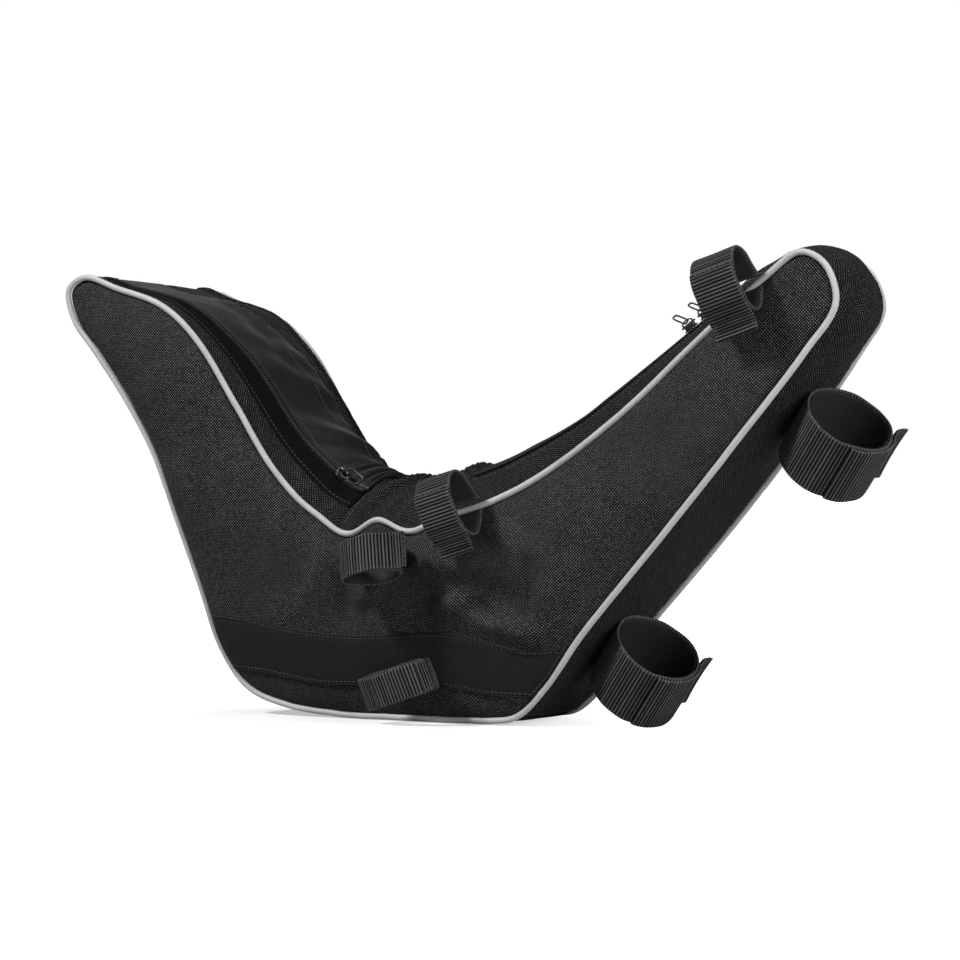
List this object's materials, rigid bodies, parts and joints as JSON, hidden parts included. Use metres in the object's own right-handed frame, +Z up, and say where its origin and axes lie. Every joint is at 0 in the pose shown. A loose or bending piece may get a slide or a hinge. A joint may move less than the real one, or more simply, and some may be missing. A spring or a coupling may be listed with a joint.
{
  "type": "bike frame bag",
  "caption": "Soft V-shaped step-through frame bag with zipped top, light edge cords and hook-and-loop straps; the lid opens, zip sliders run, straps swing and their ends peel.",
  "frame": {"origin": "on the flat bottom of the bag, below the valley between the horns, in the middle of the bag's width", "axes": "+X towards the slim front horn, +Y towards the bag's left side, +Z up; the bag stands on z = 0"},
  "size_m": [0.5697, 0.1813, 0.2972],
  "materials": {
    "band": "smooth matte",
    "board": "matte",
    "coil": "matte",
    "cord": "reflective satin",
    "face": "smooth matte",
    "lining": "smooth matte",
    "metal": "dark satin",
    "smooth": "smooth satin",
    "webbing": "ribbed matte",
    "woven": "woven matte"
  },
  "bodies": {
    "bag": {"base_board": "board", "edge_cord_left": "cord", "edge_cord_right": "cord", "front_top_strip_left": "woven", "front_top_strip_right": "woven", "gusset_bottom": "woven", "gusset_nose": "woven", "gusset_rear": "woven", "gusset_tube_side": "woven", "gusset_valley": "woven", "lining_left": "lining", "lining_right": "lining", "lower_band_left": "band", "lower_band_right": "band", "rear_top_strip_left": "woven", "rear_top_strip_right": "woven", "side_panel_left": "woven", "side_panel_right": "woven", "tip_seam": "woven", "zip_chain_front": "coil", "zip_chain_rear_left": "coil", "zip_chain_rear_right": "coil", "zip_garage": "smooth", "zip_tape_front": "smooth", "zip_tape_rear_left": "smooth", "zip_tape_rear_right": "smooth"},
    "lid": {"lid": "smooth"},
    "zip_slider_rear_right": {"slider_rear_right": "metal"},
    "zip_pull_rear_right": {"pull_rear_right": "metal"},
    "zip_slider_rear_left": {"slider_rear_left": "metal"},
    "zip_pull_rear_left": {"pull_rear_left": "metal"},
    "zip_slider_front_upper": {"slider_front_upper": "metal"},
    "zip_pull_front_upper": {"pull_front_upper": "metal"},
    "zip_slider_front_lower": {"slider_front_lower": "metal"},
    "zip_pull_front_lower": {"pull_front_lower": "metal"},
    "strap_top_front": {"strap_top_front_loop": "webbing", "strap_top_front_face": "face"},
    "strap_top_front_end": {"strap_top_front_tail": "webbing"},
    "strap_top_valley": {"strap_top_valley_loop": "webbing", "strap_top_valley_face": "face"},
    "strap_top_valley_end": {"strap_top_valley_tail": "webbing"},
    "strap_side_upper": {"strap_side_upper_loop": "webbing", "strap_side_upper_face": "face"},
    "strap_side_upper_end": {"strap_side_upper_tail": "webbing"},
    "strap_side_lower": {"strap_side_lower_loop": "webbing", "strap_side_lower_face": "face"},
    "strap_side_lower_end": {"strap_side_lower_tail": "webbing"},
    "strap_tube_lower": {"strap_tube_lower_loop": "webbing", "strap_tube_lower_face": "face"},
    "strap_tube_lower_end": {"strap_tube_lower_tail": "webbing"},
    "strap_tube_upper": {"strap_tube_upper_loop": "webbing", "strap_tube_upper_face": "face"},
    "strap_tube_upper_end": {"strap_tube_upper_tail": "webbing"}
  },
  "joints": [
    {"name": "lid_hinge", "type": "hinge", "parent": "bag", "child": "lid", "pos_m": [-0.23676, 0, 0.29117], "axis": [0, -1, 0], "range_deg": [0, 75]},
    {"name": "slider_rear_right_travel", "type": "hinge", "parent": "bag", "child": "zip_slider_rear_right", "pos_m": [0.08034, -0.02376, 0.33431], "axis": [-0.0753, 0.9972, -0.0027], "range_deg": [0, 20.99]},
    {"name": "pull_rear_right_swing", "type": "hinge", "parent": "zip_slider_rear_right", "child": "zip_pull_rear_right", "pos_m": [-0.05039, -0.03666, 0.1609], "axis": [-0.2433, -0.8935, -0.3775], "range_deg": [0, 165]},
    {"name": "slider_rear_left_travel", "type": "hinge", "parent": "bag", "child": "zip_slider_rear_left", "pos_m": [0.0942, 0.03565, 0.34403], "axis": [0.0904, 0.9959, -0.008], "range_deg": [0, 19.38]},
    {"name": "pull_rear_left_swing", "type": "hinge", "parent": "zip_slider_rear_left", "child": "zip_pull_rear_left", "pos_m": [-0.05709, 0.05113, 0.15341], "axis": [0.3217, -0.8053, 0.4979], "range_deg": [0, 165]},
    {"name": "slider_front_upper_travel", "type": "slide", "parent": "bag", "child": "zip_slider_front_upper", "axis": [0.7718, 0.0393, 0.6347], "range_m": [0, 0.0301]},
    {"name": "pull_front_upper_swing", "type": "hinge", "parent": "zip_slider_front_upper", "child": "zip_pull_front_upper", "pos_m": [0.20026, -0.01835, 0.25989], "axis": [-0.2442, 0.9324, 0.2664], "range_deg": [-38, 100]},
    {"name": "slider_front_lower_travel", "type": "slide", "parent": "bag", "child": "zip_slider_front_lower", "axis": [-0.823, -0.0242, -0.5675], "range_m": [0, 0.1072]},
    {"name": "pull_front_lower_swing", "type": "hinge", "parent": "zip_slider_front_lower", "child": "zip_pull_front_lower", "pos_m": [0.19001, -0.01889, 0.25228], "axis": [-0.2478, 0.9254, 0.2868], "range_deg": [-54, 100]},
    {"name": "strap_top_front_swing", "type": "hinge", "parent": "bag", "child": "strap_top_front", "pos_m": [0.23326, -0.03547, 0.27107], "axis": [0.9497, 0.0451, 0.3099], "range_deg": [-8, 7], "stiffness_Nm_per_rad": 0.05},
    {"name": "strap_top_front_peel", "type": "hinge", "parent": "strap_top_front", "child": "strap_top_front_end", "pos_m": [0.2401, -0.06277, 0.2541], "axis": [-0.9497, -0.0451, -0.3099], "range_deg": [0, 55]},
    {"name": "strap_top_valley_swing", "type": "hinge", "parent": "bag", "child": "strap_top_valley", "pos_m": [0.0501, -0.0555, 0.13679], "axis": [0.9403, 0.1474, 0.3068], "range_deg": [-8, 8], "stiffness_Nm_per_rad": 0.05},
    {"name": "strap_top_valley_peel", "type": "hinge", "parent": "strap_top_valley", "child": "strap_top_valley_end", "pos_m": [0.0606, -0.0877, 0.12009], "axis": [-0.9403, -0.1474, -0.3068], "range_deg": [0, 55]},
    {"name": "strap_side_upper_swing", "type": "hinge", "parent": "bag", "child": "strap_side_upper", "pos_m": [0.0009, -0.06773, 0.10102], "axis": [-0.2196, 0.2287, 0.9484], "range_deg": [-8, 8], "stiffness_Nm_per_rad": 0.05},
    {"name": "strap_side_upper_peel", "type": "hinge", "parent": "strap_side_upper", "child": "strap_side_upper_end", "pos_m": [0.01801, -0.09169, 0.11076], "axis": [0.2196, -0.2287, -0.9484], "range_deg": [0, 55]},
    {"name": "strap_side_lower_swing", "type": "hinge", "parent": "bag", "child": "strap_side_lower", "pos_m": [0.00757, -0.05514, 0.0278], "axis": [-0.2947, -0.1823, 0.938], "range_deg": [-8, 8], "stiffness_Nm_per_rad": 0.05},
    {"name": "strap_side_lower_peel", "type": "hinge", "parent": "strap_side_lower", "child": "strap_side_lower_end", "pos_m": [0.02964, -0.07364, 0.03114], "axis": [0.2947, 0.1823, -0.938], "range_deg": [0, 55]},
    {"name": "strap_tube_lower_swing", "type": "hinge", "parent": "bag", "child": "strap_tube_lower", "pos_m": [0.12793, 0, 0.05413], "axis": [0.6201, -0.2601, 0.7401], "range_deg": [-8, 8], "stiffness_Nm_per_rad": 0.05},
    {"name": "strap_tube_lower_peel", "type": "hinge", "parent": "strap_tube_lower", "child": "strap_tube_lower_end", "pos_m": [0.17049, 0.01851, 0.02497], "axis": [-0.6201, 0.2601, -0.7401], "range_deg": [0, 55]},
    {"name": "strap_tube_upper_swing", "type": "hinge", "parent": "bag", "child": "strap_tube_upper", "pos_m": [0.25872, 0, 0.19557], "axis": [0.6115, -0.3008, 0.7318], "range_deg": [-8, 8], "stiffness_Nm_per_rad": 0.05},
    {"name": "strap_tube_upper_peel", "type": "hinge", "parent": "strap_tube_upper", "child": "strap_tube_upper_end", "pos_m": [0.3019, 0.01848, 0.16708], "axis": [-0.6115, 0.3008, -0.7318], "range_deg": [0, 55]}
  ]
}
